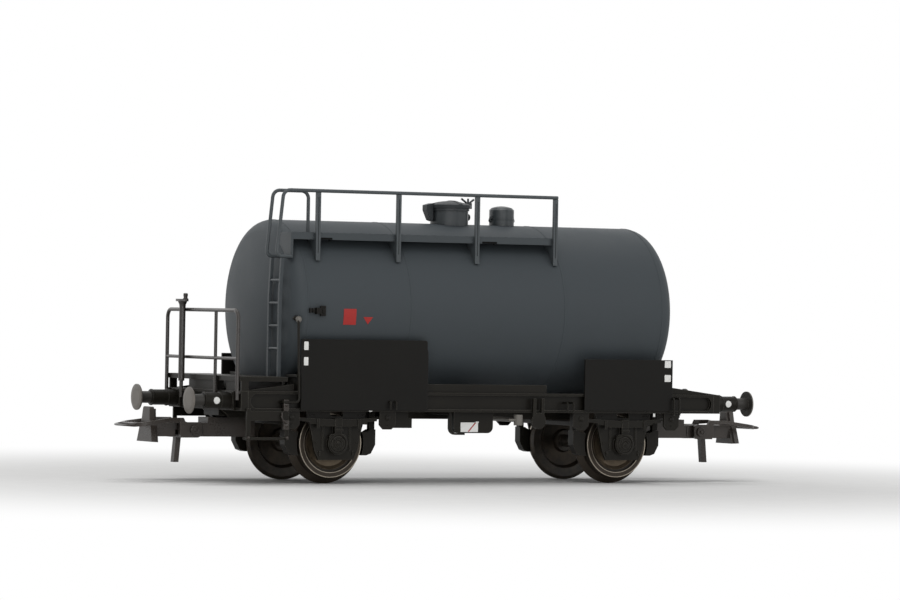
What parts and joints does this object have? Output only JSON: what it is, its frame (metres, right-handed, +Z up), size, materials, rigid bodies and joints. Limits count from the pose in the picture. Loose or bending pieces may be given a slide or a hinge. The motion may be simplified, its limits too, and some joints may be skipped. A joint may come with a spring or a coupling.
{
  "type": "scale model railway tank wagon",
  "caption": "Two-axle railway tank wagon as a 1:87 scale model, with turning wheelsets, swinging loop couplings, walkway, ladder and brakeman's platform.",
  "frame": {"origin": "on the plane the flanges stand on, midway between the two axles and between the sides", "axes": "+X along the wagon away from the platform end, +Y towards the side without the walkway, +Z up"},
  "size_m": [0.1128, 0.0285, 0.0463],
  "materials": {
    "tank_grey": "satin slate grey, printed",
    "walkway_grey": "satin slate grey, moulded",
    "frame_black": "matt warm black, moulded",
    "coupling_plastic": "semi-matt dark brown-black, moulded",
    "buffer_grey": "matt grey-brown",
    "wheel_metal": "turned and blackened, with a bright rim",
    "axle_steel": "turned steel"
  },
  "bodies": {
    "wagon": {"axle_guards_far": "frame_black", "axle_guards_near": "frame_black", "boards_far": "frame_black", "boards_near": "frame_black", "brake_beam_left_inner": "frame_black", "brake_beam_left_outer": "frame_black", "brake_beam_right_inner": "frame_black", "brake_beam_right_outer": "frame_black", "brake_column": "frame_black", "buffer_cases_left": "frame_black", "buffer_cases_right": "frame_black", "buffer_heads_left": "buffer_grey", "buffer_heads_right": "buffer_grey", "centre_sills": "frame_black", "changeover_box": "frame_black", "coupling_mount_left": "frame_black", "coupling_mount_right": "frame_black", "cradle_strips": "frame_black", "cross_members": "frame_black", "end_gussets": "frame_black", "equipment_box": "frame_black", "grab_rods": "frame_black", "headstock_left": "frame_black", "headstock_right": "frame_black", "ladder": "walkway_grey", "ladder_hoop": "walkway_grey", "leaf_springs_far": "frame_black", "leaf_springs_near": "frame_black", "lid_clamp": "tank_grey", "manway_lid": "tank_grey", "manway_neck": "tank_grey", "platform_deck": "frame_black", "platform_railing": "frame_black", "pull_disc": "frame_black", "release_valve": "frame_black", "saddle_left": "frame_black", "saddle_right": "frame_black", "solebar_far": "frame_black", "solebar_hooks": "frame_black", "solebar_near": "frame_black", "steps_far": "frame_black", "steps_near": "frame_black", "tank": "tank_grey", "tank_clamp": "frame_black", "vent_cap": "tank_grey", "vent_neck": "tank_grey", "walkway_deck": "walkway_grey", "walkway_posts": "walkway_grey", "walkway_rail": "walkway_grey"},
    "wheelset_left": {"axle_left": "axle_steel", "wheels_left": "wheel_metal"},
    "wheelset_right": {"axle_right": "axle_steel", "wheels_right": "wheel_metal"},
    "coupling_left": {"coupling_arm_left": "coupling_plastic", "coupling_head_left": "coupling_plastic"},
    "coupling_right": {"coupling_arm_right": "coupling_plastic", "coupling_head_right": "coupling_plastic"},
    "bow_left": {"coupling_bow_left": "coupling_plastic"},
    "bow_right": {"coupling_bow_right": "coupling_plastic"}
  },
  "joints": [
    {"name": "wheelset_left_spin", "type": "hinge", "parent": "wagon", "child": "wheelset_left", "pos_m": [-0.02586, 0, 0.0064], "axis": [0, 1, 0], "continuous": true},
    {"name": "coupling_left_swing", "type": "hinge", "parent": "wagon", "child": "coupling_left", "pos_m": [-0.037, 0, 0.0102], "axis": [0, 0, 1], "range_deg": [-10, 10], "stiffness_Nm_per_rad": 0.0004},
    {"name": "bow_left_lift", "type": "hinge", "parent": "coupling_left", "child": "bow_left", "pos_m": [-0.046, 0, 0.0082], "axis": [0, 1, 0], "range_deg": [0, 15]},
    {"name": "wheelset_right_spin", "type": "hinge", "parent": "wagon", "child": "wheelset_right", "pos_m": [0.02586, 0, 0.0064], "axis": [0, 1, 0], "continuous": true},
    {"name": "coupling_right_swing", "type": "hinge", "parent": "wagon", "child": "coupling_right", "pos_m": [0.037, 0, 0.0102], "axis": [0, 0, 1], "range_deg": [-10, 10], "stiffness_Nm_per_rad": 0.0004},
    {"name": "bow_right_lift", "type": "hinge", "parent": "coupling_right", "child": "bow_right", "pos_m": [0.046, 0, 0.0082], "axis": [0, -1, 0], "range_deg": [0, 15]}
  ]
}
